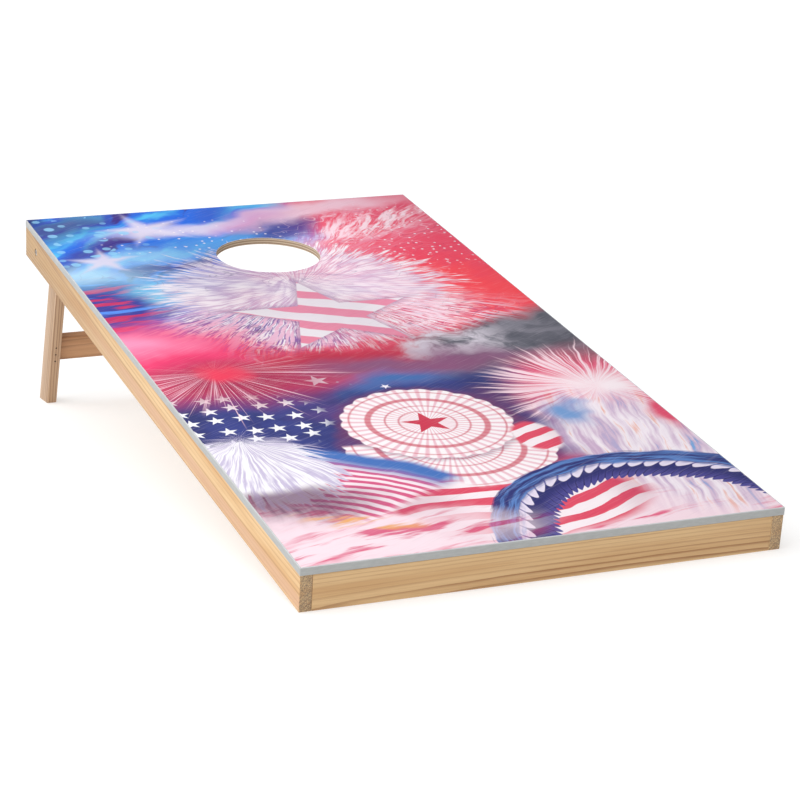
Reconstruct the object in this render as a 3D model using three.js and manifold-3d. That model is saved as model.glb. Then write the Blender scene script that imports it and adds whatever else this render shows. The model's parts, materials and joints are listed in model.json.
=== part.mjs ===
// A regulation cornhole board: a printed plywood deck with a bag hole, on a pine frame,
// raised at the back by a pair of folding legs. Millimetres, +Z up.
import * as THREE from 'three';
import { mergeVertices } from 'three/addons/utils/BufferGeometryUtils.js';
import Module from 'manifold-3d';

const wasm = await Module();
wasm.setup();

// ---- Driving dimensions ----

// Deck
const deckLength = 1219.2;
const deckWidth = 609.6;
const deckThickness = 10;
const filmThickness = 0.4;
const filmGap = 0.1;
const bandThickness = 1;
const bagHoleRadius = 76.2;
const bagHoleFromBack = 228.6;

// Frame
const boardDepth = 55.2;
const railThickness = 15;
const deckOverhang = 0.35;
const braceThickness = 18;
const braceClearance = 3;
const cornerBlockSide = 24;
const cornerBlockClearance = 4;
const legBlockThickness = 13.4;
const legBlockLength = 118;
const legBlockClearance = 3;
const glueLine = 0.15;
const woodEase = 0.8;

// Legs
const pivotFromBack = 59.2;
const pivotDepth = 31.5;
const legOuterFace = 274.4;
const legThickness = 14.9;
const legWidth = 41.5;
const legLean = THREE.MathUtils.degToRad(15);
const legReach = 279;
const runningGap = 0.3;
const crossbarReach = 177;
const crossbarHeight = 40;
const crossbarThickness = 15;
const tenonLength = 11;
const tenonHeight = 32;
const tenonThickness = 9;

// Hardware
const boltRadius = 3;
const boltHeadRadius = 5.5;
const boltHeadHeight = 3.2;
const boltHeadRecess = 0.4;
const boltHeadFlat = 3.9;
const boltHeadRound = 1.7;
const boltPoint = 0.8;
const hexSocketDepth = 2;
const washerRadius = 9;
const washerThickness = 1.1;
const nutAcrossFlats = 10;
const nutHeight = 5;
const nylonCollar = 1.6;
const collarRadius = 4.6;
const boltEndPastNut = 1.8;
const hexKeyAcrossFlats = 4;
const screwHeadRadius = 3.6;
const screwRadius = 1.75;
const screwHeadRim = 0.5;
const screwHeadHeight = 2.6;
const screwPoint = 5;
const nailHeadRadius = 1.3;
const nailHeadThickness = 1;
const nailRadius = 0.9;
const nailPoint = 1.5;
const headSink = 0.2;
const recessMouth = 2;
const fit = 0.15;

// Lengths and places of the fasteners
const cornerScrewLength = 34;
const cornerScrewStagger = { x: 4, y: 3 };
const cornerScrewRise = { side_upper: 8, side_lower: -14, front_upper: 14, front_lower: -8 };
const legBlockScrewLength = 25;
const legBlockScrewFromEnd = { front: 14, back: 12 };
const braceScrewLength = 22;
const braceScrewRecess = 26;
const braceScrewX = deckWidth / 5;
const backNailLength = 38;
const backNailRise = 11;
const legNailLength = 30;
const legNailPitch = 12.5;

// ---- Places worked out from them, in the board's own frame ----
// The board's frame has its origin on the deck's top face, at the middle of the front edge.

const deckUnderside = -deckThickness;
const railTop = deckUnderside - glueLine;
const railHeight = boardDepth + railTop;
const railMiddle = (railTop - boardDepth) / 2;
const railOuterFace = deckWidth / 2 - deckOverhang;
const railInnerFace = railOuterFace - railThickness;
const railLength = deckLength - 2 * deckOverhang;
const crossRailLength = 2 * (railInnerFace - glueLine);
const frontRailInnerY = deckOverhang + railThickness;
const backRailInnerY = deckLength - deckOverhang - railThickness;
const pivotY = deckLength - pivotFromBack;
const legInnerFace = legOuterFace - legThickness;
const legMiddle = (legOuterFace + legInnerFace) / 2;
const footY = pivotY + legReach * Math.sin(legLean);
const footDepth = pivotDepth + legReach * Math.cos(legLean);
const boardTilt = Math.atan2(footDepth - boardDepth, footY - deckOverhang);

// ---- Materials ----

function finish(name, color, roughness, metalness = 0) {
  return new THREE.MeshStandardMaterial({ name, color, roughness, metalness });
}

const plywood = () => finish('plywood', 0xcda679, 0.75);
const print = () => finish('printed film', 0xb9597f, 0.35);
const band = () => finish('edge band', 0xa9aeb2, 0.5);
const pine = () => finish('pine', 0xdcb685, 0.6);
const darkPine = () => finish('darker pine', 0xb58a5f, 0.65);
const zinc = () => finish('zinc plated steel', 0xb9bcc0, 0.35, 1);
const nailSteel = () => finish('nail steel', 0x4a423c, 0.5, 0.8);

// ---- Geometry helpers ----

const X = new THREE.Vector3(1, 0, 0);
const Y = new THREE.Vector3(0, 1, 0);
const Z = new THREE.Vector3(0, 0, 1);

// An outline in the plane across an axis turns into a solid along that axis.
const turnTo = {
  x: new THREE.Matrix4().makeBasis(Y, Z, X),
  y: new THREE.Matrix4().makeBasis(Z, X, Y),
  z: new THREE.Matrix4(),
};

// Pushes an outline through a length, centred on the outline's plane.
function extrudeAlong(axis, outline, length, ease = 0) {
  const geometry = new THREE.ExtrudeGeometry(outline, {
    depth: length - 2 * ease,
    curveSegments: 24,
    bevelEnabled: ease > 0,
    bevelThickness: ease,
    bevelSize: ease,
    bevelOffset: -ease,
    bevelSegments: 2,
  });
  return geometry.translate(0, 0, ease - length / 2).applyMatrix4(turnTo[axis]);
}

// A planed bar centred on the origin, its long edges eased.
function planedBar(axis, sizeX, sizeY, sizeZ) {
  const section = { x: [sizeY, sizeZ], y: [sizeZ, sizeX], z: [sizeX, sizeY] }[axis];
  const length = { x: sizeX, y: sizeY, z: sizeZ }[axis];
  const [halfWide, halfHigh] = section.map((side) => side / 2 - woodEase);
  const outline = new THREE.Shape();
  outline.absarc(halfWide, halfHigh, woodEase, 0, Math.PI / 2);
  outline.absarc(-halfWide, halfHigh, woodEase, Math.PI / 2, Math.PI);
  outline.absarc(-halfWide, -halfHigh, woodEase, Math.PI, 1.5 * Math.PI);
  outline.absarc(halfWide, -halfHigh, woodEase, 1.5 * Math.PI, 2 * Math.PI);
  outline.closePath();
  const points = outline.getPoints(3);
  return extrudeAlong(axis, new THREE.Shape(points), length);
}

// A turned solid along +Z from [radius, distance] pairs, on the axis at both ends or closed.
function turned(profile, segments = 24) {
  const points = profile.map(([radius, along]) => new THREE.Vector2(radius, along));
  return new THREE.LatheGeometry(points, segments).rotateX(Math.PI / 2);
}

function rod(radius, from, to, segments = 24) {
  return turned([[0, from], [radius, from], [radius, to], [0, to]], segments);
}

function solidOf(geometry) {
  const bare = geometry.clone();
  bare.deleteAttribute('normal');
  bare.deleteAttribute('uv');
  const merged = mergeVertices(bare, 1e-4);
  return new wasm.Manifold(new wasm.Mesh({
    numProp: 3,
    vertProperties: merged.attributes.position.array,
    triVerts: new Uint32Array(merged.index.array),
  }));
}

function geometryOf(solid) {
  const mesh = solid.getMesh();
  const geometry = new THREE.BufferGeometry();
  geometry.setAttribute('position', new THREE.BufferAttribute(mesh.vertProperties, 3));
  geometry.setIndex(new THREE.BufferAttribute(mesh.triVerts, 1));
  geometry.computeVertexNormals();
  return geometry;
}

function cut(geometry, cutters) {
  const solid = cutters.reduce((left, cutter) => left.subtract(solidOf(cutter)), solidOf(geometry));
  return geometryOf(solid);
}

function join(geometries) {
  const solid = geometries.map(solidOf).reduce((whole, next) => whole.add(next));
  return geometryOf(solid);
}

// Turns a solid that runs along +Z to run along a direction from a point.
function aim(geometry, at, direction) {
  const turn = new THREE.Quaternion().setFromUnitVectors(Z, direction);
  return geometry.applyQuaternion(turn).translate(at.x, at.y, at.z);
}

// Adds one named piece to a group. The holes are given in the group's frame.
function addPiece(group, name, geometry, material, place, holes = []) {
  const local = holes.map((hole) => hole.clone().translate(-place.x, -place.y, -place.z));
  const mesh = new THREE.Mesh(holes.length ? cut(geometry, local) : geometry, material);
  mesh.name = name;
  mesh.position.copy(place);
  group.add(mesh);
}

// ---- Fasteners ----

// A countersunk wood screw, or the hole for it when it is given an allowance.
function countersunkScrew(length, allowance = 0) {
  const head = screwHeadRadius + allowance;
  const shank = screwRadius + allowance;
  return turned([
    [0, -allowance],
    [head, -allowance],
    [head, screwHeadRim],
    [shank, screwHeadHeight],
    [shank, length - screwPoint],
    [0, length + allowance],
  ]);
}

// A brad with a small flat head, or the hole for it when it is given an allowance.
function brad(length, allowance = 0) {
  const head = nailHeadRadius + allowance;
  const shank = nailRadius + allowance;
  return turned([
    [0, -allowance],
    [head, -allowance],
    [head, nailHeadThickness + allowance],
    [shank, nailHeadThickness + allowance],
    [shank, length - nailPoint],
    [0, length + allowance],
  ], 16);
}

// A fastener and its hole, which opens straight out past the fastener's head.
function fastener(shape, name, at, into, length) {
  const headRadius = shape === brad ? nailHeadRadius : screwHeadRadius;
  const mouth = rod(headRadius + fit, -recessMouth, headSink);
  const hole = join([aim(shape(length, fit), at, into), aim(mouth, at, into)]);
  return { name, at, into, hole, geometry: shape(length) };
}

function addFastener(group, { name, at, into, geometry }, material) {
  const mesh = new THREE.Mesh(geometry, material);
  mesh.name = name;
  mesh.position.copy(at);
  mesh.quaternion.setFromUnitVectors(Z, into);
  group.add(mesh);
}

const sides = [['left', -1], ['right', 1]];

// Two screws out through each front corner block into the side rail and two into the front rail.
const cornerBlockX = railInnerFace - glueLine - cornerBlockSide / 2;
const cornerBlockY = frontRailInnerY + glueLine + cornerBlockSide / 2;
const cornerScrews = sides.flatMap(([side, sign]) => Object.entries(cornerScrewRise).map(
  ([spot, rise]) => {
    const head = cornerBlockSide / 2 - headSink;
    const sideways = spot.startsWith('side');
    const shift = sideways ? [-head, cornerScrewStagger.x] : [-cornerScrewStagger.y, head];
    return fastener(
      countersunkScrew,
      `corner_screw_${side}_${spot}`,
      new THREE.Vector3(sign * (cornerBlockX + shift[0]), cornerBlockY + shift[1], railMiddle + rise),
      sideways ? X.clone().multiplyScalar(sign) : Y.clone().negate(),
      cornerScrewLength,
    );
  },
));

// Two screws through each leg block into its side rail, either side of the pivot.
const legBlockOuter = railInnerFace - glueLine;
const legBlockInner = legBlockOuter - legBlockThickness;
const legBlockY = backRailInnerY - glueLine - legBlockLength / 2;
const legBlockScrews = sides.flatMap(([side, sign]) => [
  ['front', legBlockY - legBlockLength / 2 + legBlockScrewFromEnd.front],
  ['back', legBlockY + legBlockLength / 2 - legBlockScrewFromEnd.back],
].map(([spot, y]) => fastener(
  countersunkScrew,
  `leg_block_screw_${side}_${spot}`,
  new THREE.Vector3(sign * (legBlockInner + headSink), y, railMiddle),
  X.clone().multiplyScalar(sign),
  legBlockScrewLength,
)));

// Brads through the back rail into the end of each leg block.
const backNails = sides.flatMap(([side, sign]) => [['upper', 1], ['lower', -1]].map(
  ([spot, step]) => fastener(
    brad,
    `back_rail_nail_${side}_${spot}`,
    new THREE.Vector3(
      sign * (legBlockInner + legBlockThickness / 2),
      deckLength - deckOverhang - headSink,
      railMiddle + step * backNailRise,
    ),
    Y.clone().negate(),
    backNailLength,
  ),
));

// The centre brace is screwed up into the deck.
const braceY = deckLength / 2;
const braceHeight = railHeight - braceClearance;
const braceBottom = railTop - braceHeight;
const braceScrews = sides.map(([side, sign]) => fastener(
  countersunkScrew,
  `brace_screw_${side}`,
  new THREE.Vector3(sign * braceScrewX, braceY, braceBottom + braceScrewRecess),
  Z.clone(),
  braceScrewLength,
));
const braceScrewWells = braceScrews.map(({ at }) => rod(
  screwHeadRadius + fit, -braceScrewRecess - 1, 0, 24,
).translate(at.x, at.y, at.z));

// Pivot bolts run in from each side rail, through the leg block and the leg.
const boltHeadFace = railOuterFace - boltHeadRecess;
const boltShoulder = boltHeadFace - boltHeadHeight;
const spacerWasherOuter = legBlockInner - (legBlockInner - legOuterFace - washerThickness) / 2;
const nutWasherOuter = legInnerFace - fit;
const nutOuter = nutWasherOuter - washerThickness - fit / 2;
const boltEnd = nutOuter - nutHeight - nylonCollar - boltEndPastNut;

function pivotPoint(sign, x) {
  return new THREE.Vector3(sign * x, pivotY, -pivotDepth);
}

function pivotHole(sign, radius, outer, inner) {
  return aim(rod(radius, 0, outer - inner, 32), pivotPoint(sign, outer), X.clone().multiplyScalar(-sign));
}

const pivotHoles = sides.flatMap(([, sign]) => [
  pivotHole(sign, boltRadius + fit, railOuterFace + 1, boltEnd),
  pivotHole(sign, boltHeadRadius + fit, railOuterFace + 1, boltShoulder - fit),
]);

// ---- The board: deck and frame ----

const board = new THREE.Group();

const deckHoleY = deckLength - bagHoleFromBack;
const panelWidth = deckWidth - 2 * (bandThickness + glueLine);
const panelLength = deckLength - 2 * (bandThickness + glueLine);

function deckSheet(thickness) {
  const outline = new THREE.Shape();
  outline.moveTo(-panelWidth / 2, -panelLength / 2);
  outline.lineTo(panelWidth / 2, -panelLength / 2);
  outline.lineTo(panelWidth / 2, panelLength / 2);
  outline.lineTo(-panelWidth / 2, panelLength / 2);
  outline.closePath();
  const hole = new THREE.Path();
  hole.absarc(0, deckHoleY - deckLength / 2, bagHoleRadius, 0, 2 * Math.PI);
  outline.holes.push(hole);
  const geometry = new THREE.ExtrudeGeometry(outline, {
    depth: thickness,
    curveSegments: 96,
    bevelEnabled: false,
  });
  return geometry.translate(0, 0, -thickness / 2);
}

const panelThickness = deckThickness - filmThickness - filmGap;
const middleOfDeck = new THREE.Vector3(0, deckLength / 2, 0);
addPiece(
  board, 'deck_panel', deckSheet(panelThickness), plywood(),
  middleOfDeck.clone().setZ(deckUnderside + panelThickness / 2),
  braceScrews.map(({ hole }) => hole),
);
addPiece(
  board, 'printed_film', deckSheet(filmThickness), print(),
  middleOfDeck.clone().setZ(-filmThickness / 2),
);

for (const [end, y] of [['front', bandThickness / 2], ['back', deckLength - bandThickness / 2]]) {
  const strip = new THREE.BoxGeometry(deckWidth, bandThickness, deckThickness);
  addPiece(board, `edge_band_${end}`, strip, band(), new THREE.Vector3(0, y, deckUnderside / 2));
}
for (const [side, sign] of sides) {
  const strip = new THREE.BoxGeometry(bandThickness, panelLength, deckThickness);
  const middle = new THREE.Vector3(
    sign * (deckWidth / 2 - bandThickness / 2),
    deckLength / 2,
    deckUnderside / 2,
  );
  addPiece(board, `edge_band_${side}`, strip, band(), middle);
}

const frameHoles = [...cornerScrews, ...legBlockScrews, ...backNails].map(({ hole }) => hole);
for (const [side, sign] of sides) {
  addPiece(
    board, `side_rail_${side}`, planedBar('y', railThickness, railLength, railHeight), pine(),
    new THREE.Vector3(sign * (railOuterFace - railThickness / 2), deckLength / 2, railMiddle),
    [...frameHoles, ...pivotHoles],
  );
}

for (const [end, y] of [
  ['front', deckOverhang + railThickness / 2],
  ['back', deckLength - deckOverhang - railThickness / 2],
]) {
  addPiece(
    board, `${end}_rail`, planedBar('x', crossRailLength, railThickness, railHeight), pine(),
    new THREE.Vector3(0, y, railMiddle), frameHoles,
  );
}

addPiece(
  board, 'centre_brace', planedBar('x', crossRailLength, braceThickness, braceHeight), pine(),
  new THREE.Vector3(0, braceY, railTop - braceHeight / 2),
  [...braceScrews.map(({ hole }) => hole), ...braceScrewWells],
);

for (const [side, sign] of sides) {
  addPiece(
    board, `corner_block_${side}`,
    planedBar('z', cornerBlockSide, cornerBlockSide, railHeight - cornerBlockClearance), pine(),
    new THREE.Vector3(sign * cornerBlockX, cornerBlockY, railMiddle), frameHoles,
  );
  addPiece(
    board, `leg_block_${side}`,
    planedBar('y', legBlockThickness, legBlockLength, railHeight - legBlockClearance), pine(),
    new THREE.Vector3(sign * (legBlockOuter - legBlockThickness / 2), legBlockY, railMiddle),
    [...frameHoles, ...pivotHoles],
  );
}

for (const screw of [...cornerScrews, ...legBlockScrews, ...braceScrews]) {
  addFastener(board, screw, zinc());
}
for (const nail of backNails) {
  addFastener(board, nail, nailSteel());
}

// ---- Pivot hardware ----

function regularHexagon(acrossFlats) {
  const corner = acrossFlats / Math.sqrt(3);
  const corners = Array.from({ length: 6 }, (_, i) => new THREE.Vector2(
    corner * Math.cos(i * Math.PI / 3),
    corner * Math.sin(i * Math.PI / 3),
  ));
  return new THREE.Shape(corners);
}

// A button-head bolt along +Z with a hexagon socket, its head's face at the origin.
function socketBolt() {
  const length = boltHeadFace - boltEnd;
  const body = turned([
    [0, 0],
    [boltHeadFlat, 0],
    [(boltHeadFlat + 2 * boltHeadRadius) / 3, boltHeadRound / 2],
    [boltHeadRadius, boltHeadRound],
    [boltHeadRadius, boltHeadHeight],
    [boltRadius, boltHeadHeight],
    [boltRadius, length - boltPoint],
    [boltRadius - boltPoint, length],
    [0, length],
  ], 32);
  return cut(body, [extrudeAlong('z', regularHexagon(hexKeyAcrossFlats), 2 * hexSocketDepth)]);
}

function washer() {
  const hole = boltRadius + fit;
  return turned([
    [hole, 0],
    [washerRadius, 0],
    [washerRadius, washerThickness],
    [hole, washerThickness],
    [hole, 0],
  ], 32);
}

// A hexagon lock nut with a low round collar that holds the nylon ring.
function lockNut() {
  const hexagon = extrudeAlong('z', regularHexagon(nutAcrossFlats), nutHeight);
  hexagon.translate(0, 0, nutHeight / 2);
  const top = nutHeight + nylonCollar;
  const collar = rod(collarRadius, nutHeight / 2, top, 32);
  const threadHole = rod(boltRadius + fit / 2, -1, top + 1, 32);
  return cut(join([hexagon, collar]), [threadHole]);
}

for (const [side, sign] of sides) {
  const inwards = X.clone().multiplyScalar(-sign);
  const hardware = [
    ['pivot_bolt', boltHeadFace, socketBolt()],
    ['spacer_washer', spacerWasherOuter, washer()],
    ['nut_washer', nutWasherOuter, washer()],
    ['lock_nut', nutOuter, lockNut()],
  ];
  for (const [name, x, geometry] of hardware) {
    const at = pivotPoint(sign, x);
    addFastener(board, { name: `${name}_${side}`, at, into: inwards, geometry }, zinc());
  }
}

// ---- The folding leg frame ----
// Its own frame has its origin on the pivot line, with -Z running down the legs.

const legFrame = new THREE.Group();
legFrame.position.set(0, pivotY, -pivotDepth);
legFrame.rotation.x = legLean;
board.add(legFrame);

// The top is cut to meet the deck when the legs are open, and rounded on the side that
// swings past the deck when they fold. The foot is cut to stand flat on the ground.
function legOutline() {
  const half = legWidth / 2;
  const topGap = pivotDepth - deckThickness - runningGap;
  const lift = Math.PI / 2 - legLean;
  const topAtBack = (topGap - half * Math.sin(legLean)) / Math.cos(legLean);
  const arcEnd = Math.acos(-half / topGap);
  const footSlope = Math.tan(legLean + boardTilt);
  const outline = new THREE.Shape();
  outline.moveTo(-half, -legReach + half * footSlope);
  outline.lineTo(half, -legReach - half * footSlope);
  outline.lineTo(half, topAtBack);
  outline.lineTo(topGap * Math.cos(lift), topGap * Math.sin(lift));
  outline.absarc(0, 0, topGap, lift, arcEnd);
  outline.closePath();
  return outline;
}

const legNails = sides.flatMap(([side, sign]) => [['upper', 1], ['middle', 0], ['lower', -1]].map(
  ([spot, step]) => fastener(
    brad,
    `leg_nail_${side}_${spot}`,
    new THREE.Vector3(sign * legMiddle, headSink - legWidth / 2, legNailPitch * step - crossbarReach),
    Y.clone(),
    legNailLength,
  ),
));
const legNailHoles = legNails.map(({ hole }) => hole);

for (const [side, sign] of sides) {
  const place = new THREE.Vector3(sign * legMiddle, 0, 0);
  const boltHole = rod(boltRadius + fit, -legThickness, legThickness, 32)
    .rotateY(Math.PI / 2).translate(place.x, 0, 0);
  const mortise = new THREE.BoxGeometry(
    2 * (tenonLength + fit), tenonThickness + 2 * fit, tenonHeight + 2 * fit,
  ).translate(sign * legInnerFace, 0, -crossbarReach);
  addPiece(
    legFrame, `leg_${side}`, extrudeAlong('x', legOutline(), legThickness, woodEase), pine(),
    place, [boltHole, mortise, ...legNailHoles],
  );
}

const crossbarLength = 2 * (legInnerFace - glueLine);
const tenons = new THREE.BoxGeometry(2 * (legInnerFace + tenonLength), tenonThickness, tenonHeight);
addPiece(
  legFrame, 'leg_crossbar',
  join([planedBar('x', crossbarLength, crossbarThickness, crossbarHeight), tenons]), darkPine(),
  new THREE.Vector3(0, 0, -crossbarReach), legNailHoles,
);

for (const nail of legNails) {
  addFastener(legFrame, nail, nailSteel());
}

// ---- Standing on the ground ----

board.rotation.x = boardTilt;
const part = new THREE.Group();
part.add(board);
part.updateMatrixWorld(true);
const reach = new THREE.Box3().setFromObject(part, true);
board.position.y = -(reach.min.y + reach.max.y) / 2;
board.position.z = -reach.min.z;

export default part;
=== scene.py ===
"""A regulation cornhole board: a printed plywood deck on a pine frame, with a folding leg frame."""

import json
import math

import bmesh
import bpy
from mathutils import Matrix, Vector


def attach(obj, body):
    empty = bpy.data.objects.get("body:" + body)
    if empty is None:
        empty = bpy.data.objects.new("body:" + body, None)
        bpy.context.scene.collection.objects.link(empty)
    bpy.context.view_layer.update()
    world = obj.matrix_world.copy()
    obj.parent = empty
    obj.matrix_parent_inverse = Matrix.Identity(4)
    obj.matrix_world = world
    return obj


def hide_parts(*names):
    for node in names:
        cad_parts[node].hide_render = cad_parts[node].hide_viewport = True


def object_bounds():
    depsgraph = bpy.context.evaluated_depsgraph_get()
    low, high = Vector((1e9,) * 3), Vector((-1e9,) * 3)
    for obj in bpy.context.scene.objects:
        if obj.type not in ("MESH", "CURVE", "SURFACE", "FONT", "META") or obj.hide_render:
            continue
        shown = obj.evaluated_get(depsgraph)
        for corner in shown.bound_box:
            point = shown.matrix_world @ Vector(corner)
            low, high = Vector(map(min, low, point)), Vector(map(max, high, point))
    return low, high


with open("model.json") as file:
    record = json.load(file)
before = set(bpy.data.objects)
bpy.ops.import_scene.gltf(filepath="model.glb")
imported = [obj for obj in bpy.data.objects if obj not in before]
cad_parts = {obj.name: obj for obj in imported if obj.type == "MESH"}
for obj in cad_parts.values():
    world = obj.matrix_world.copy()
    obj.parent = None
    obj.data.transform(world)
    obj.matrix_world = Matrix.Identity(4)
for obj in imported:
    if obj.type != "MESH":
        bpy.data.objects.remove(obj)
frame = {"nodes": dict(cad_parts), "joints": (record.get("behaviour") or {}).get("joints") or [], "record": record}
cad_box = [list(corner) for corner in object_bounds()]

# ---- Pine rails ----
# Four planed pine rails make the frame. The side rails run the full length and show their end grain;
# the front and back rails are glued and screwed between them. All have a thin clear coat.

mounts = {mount["name"]: mount for mount in frame["record"]["mounts"]}
deck_up = Vector(mounts["deck_face"]["axis"])
deck_tilt = math.atan2(-deck_up.y, deck_up.z)
deck_slope = Matrix.Rotation(deck_tilt, 4, "X")
deck_middle = Vector(mounts["deck_face"]["pos_m"])
deck_length = 1.2192
front_edge = deck_middle - deck_slope @ Vector((0, deck_length / 2, 0))
# The board's pieces are made flat in a frame that starts at the middle of the deck's front edge,
# with y running up the deck, and are then set on the deck's slope.
board_place = Matrix.Translation(front_edge) @ deck_slope


def own_box(node, place):
    """The lowest and highest corner of a CAD node in a tilted frame of its own."""
    into_place = place.inverted()
    points = [into_place @ vertex.co for vertex in frame["nodes"][node].data.vertices]
    low = Vector(min(point[axis] for point in points) for axis in range(3))
    high = Vector(max(point[axis] for point in points) for axis in range(3))
    return low, high


def paint_colour(red, green, blue):
    """A colour chosen on a 0 to 255 chart, as the linear value that shaders take."""
    chart = [channel / 255 for channel in (red, green, blue)]
    return (*[c / 12.92 if c <= 0.04045 else ((c + 0.055) / 1.055) ** 2.4 for c in chart], 1)


class Finish:
    """A procedural finish. Each method adds one step and gives its output. A frame is given for a
    piece whose mesh is already turned out of its own axes."""

    def __init__(self, name, frame_of_piece=None):
        self.material = bpy.data.materials.new(name)
        self.material.use_nodes = True
        self.tree = self.material.node_tree
        self.surface = self.tree.nodes["Principled BSDF"]
        self.place = self.step("ShaderNodeTexCoord", {}, "Object")
        if frame_of_piece:
            feeds = {"Vector": self.place, "Location": frame_of_piece.translation[:],
                     "Rotation": frame_of_piece.to_euler()[:]}
            self.place = self.step("ShaderNodeMapping", feeds, vector_type="TEXTURE")

    def step(self, kind, feeds, output=0, **settings):
        made = self.tree.nodes.new(kind)
        for setting, value in settings.items():
            setattr(made, setting, value)
        for socket, value in feeds.items():
            self.feed(made.inputs[socket], value)
        return made.outputs[output]

    def feed(self, socket, value):
        if isinstance(value, bpy.types.NodeSocket):
            self.tree.links.new(value, socket)
        else:
            socket.default_value = value

    def sums(self, operation, first, second=0.0, third=0.0):
        return self.step("ShaderNodeMath", {0: first, 1: second, 2: third}, operation=operation)

    def times(self, first, second, plus=None):
        """A product, with something added to it if plus is given."""
        if plus is None:
            return self.sums("MULTIPLY", first, second)
        return self.sums("MULTIPLY_ADD", first, second, plus)

    def join(self, across, up):
        return self.step("ShaderNodeCombineXYZ", {"X": across, "Y": up})

    def vector(self, operation, first, second=(0, 0, 0), output=0):
        return self.step("ShaderNodeVectorMath", {0: first, 1: second}, output, operation=operation)

    def stretch(self, vector, scale, turn=0.0, offset=(0, 0, 0)):
        feeds = {"Vector": vector, "Scale": scale, "Rotation": (0, 0, turn), "Location": offset}
        return self.step("ShaderNodeMapping", feeds)

    def noise(self, vector, scale=1.0, detail=2.0, roughness=0.5, distortion=0.0):
        feeds = {"Vector": vector, "Scale": scale, "Detail": detail, "Roughness": roughness}
        return self.step("ShaderNodeTexNoise", {**feeds, "Distortion": distortion})

    def rise(self, value, low, high):
        feeds = {"Value": value, "From Min": low, "From Max": high}
        return self.step("ShaderNodeMapRange", feeds, interpolation_type="SMOOTHSTEP")

    def span(self, value, low, high):
        return self.step("ShaderNodeMapRange", {"Value": value, "To Min": low, "To Max": high})

    def blend(self, amount, under, over, mode="MIX"):
        """Lays one colour over another. A colour is an output, a chart colour or a linear one."""
        under, over = (
            paint_colour(*colour) if isinstance(colour, tuple) and len(colour) == 3 else colour
            for colour in (under, over)
        )
        feeds = {0: amount, 6: under, 7: over}
        return self.step("ShaderNodeMix", feeds, 2, data_type="RGBA", blend_type=mode)

    def relief(self, height, strength, depth):
        feeds = {"Height": height, "Strength": strength, "Distance": depth}
        self.feed(self.surface.inputs["Normal"], self.step("ShaderNodeBump", feeds))

    def shine(self, **values):
        for socket, value in values.items():
            self.feed(self.surface.inputs[socket.replace("_", " ")], value)


pine_light = (217, 184, 137)
pine_warm = (203, 161, 110)
pine_dark = (158, 108, 66)
end_grain_dark = (112, 94, 76)
heartwood_pink = (200, 156, 124)


def pine_finish(
    name, along, pith, light=pine_light, warm=pine_warm, dark=pine_dark, end=False, heartwood=0.0,
    frame_of_piece=None,
):
    """Pine sawn from a log whose heart runs past the piece at pith: its rings give straight
    lines and long arches on the faces, and arcs on the ends. Where heartwood is given as a distance
    from the heart, the wood further out is pinker, past a dark line, and it is painted darker up the
    board: painted shade where the light falls off towards the back."""
    wood = Finish(name, frame_of_piece)
    lengthwise = {"x": (0, 1, 1), "y": (1, 0, 1), "z": (1, 1, 0)}[along]
    slow = Vector(lengthwise) + Vector(1 - side for side in lengthwise) * 0.045
    fine = Vector(lengthwise) + Vector(1 - side for side in lengthwise) * 0.012
    from_heart = wood.vector("SUBTRACT", wood.place, pith)
    bend = wood.noise(wood.stretch(from_heart, (slow * 16)[:]), 1, 2, 0.4)
    rings = wood.vector("LENGTH", wood.stretch(from_heart, slow[:]), output=1)
    rings = wood.times(bend, 0.014, rings)
    wander = wood.noise(wood.stretch(from_heart, (slow * 140)[:]), 1, 3, 0.5)
    rings = wood.times(wander, 0.0026, rings)
    year = wood.sums("FRACT", wood.sums("DIVIDE", rings, 0.0044))
    late_wood = wood.times(wood.rise(year, 0.5, 0.96), wood.rise(year, 1.0, 0.96))
    band = wood.noise(wood.stretch(from_heart, (slow * 75)[:]), 1, 2, 0.5)
    fibre = wood.noise(wood.stretch(from_heart, (fine * 1500)[:]), 1, 3, 0.6)
    cloud = wood.noise(wood.stretch(from_heart, (slow * 30)[:]), 1, 2, 0.5)
    tone = wood.blend(wood.rise(band, 0.35, 0.7), light, warm)
    depth = wood.times(late_wood, wood.span(wood.rise(cloud, 0.3, 0.7), 0.15, 0.9))
    tone = wood.blend(depth, tone, dark)
    if heartwood:
        up_board = wood.step("ShaderNodeSeparateXYZ", {"Vector": wood.place}, "Y")
        past = wood.times(bend, 0.006, wood.sums("SUBTRACT", rings, heartwood + 0.003))
        pinker = wood.times(wood.rise(past, 0.0, 0.003), wood.rise(past, 0.022, 0.008))
        pinker = wood.times(pinker, wood.rise(up_board, 1.05, 0.6))
        tone = wood.blend(wood.times(pinker, 0.75), tone, heartwood_pink)
        line = wood.rise(wood.sums("ABSOLUTE", past), 0.0014, 0.0003)
        tone = wood.blend(wood.times(line, wood.span(cloud, 0.2, 0.9)), tone, dark)
        # Painted shade: the wood is darkened up the board, towards the back, where the light falls off.
        painted_far_shade = wood.rise(wood.times(bend, 0.2, up_board), 0.6, 1.35)
        tone = wood.blend(painted_far_shade, tone, (0.66, 0.6, 0.52, 1), "MULTIPLY")
    speck = wood.rise(fibre, 0.52, 0.72)
    tone = wood.blend(wood.times(speck, 0.3), tone, dark)
    if end:
        pores = wood.noise(wood.stretch(from_heart, (900, 900, 900)), 1, 2, 0.6)
        tone = wood.blend(wood.rise(pores, 0.2, 0.75), tone, end_grain_dark)
        wood.relief(pores, 0.3, 0.0003)
    else:
        wood.relief(wood.sums("ADD", fibre, late_wood), 0.22, 0.00025)
    wood.shine(Base_Color=tone, Roughness=wood.span(fibre, 0.42, 0.62))
    return wood.material


wood_ease = 0.0008


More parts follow.
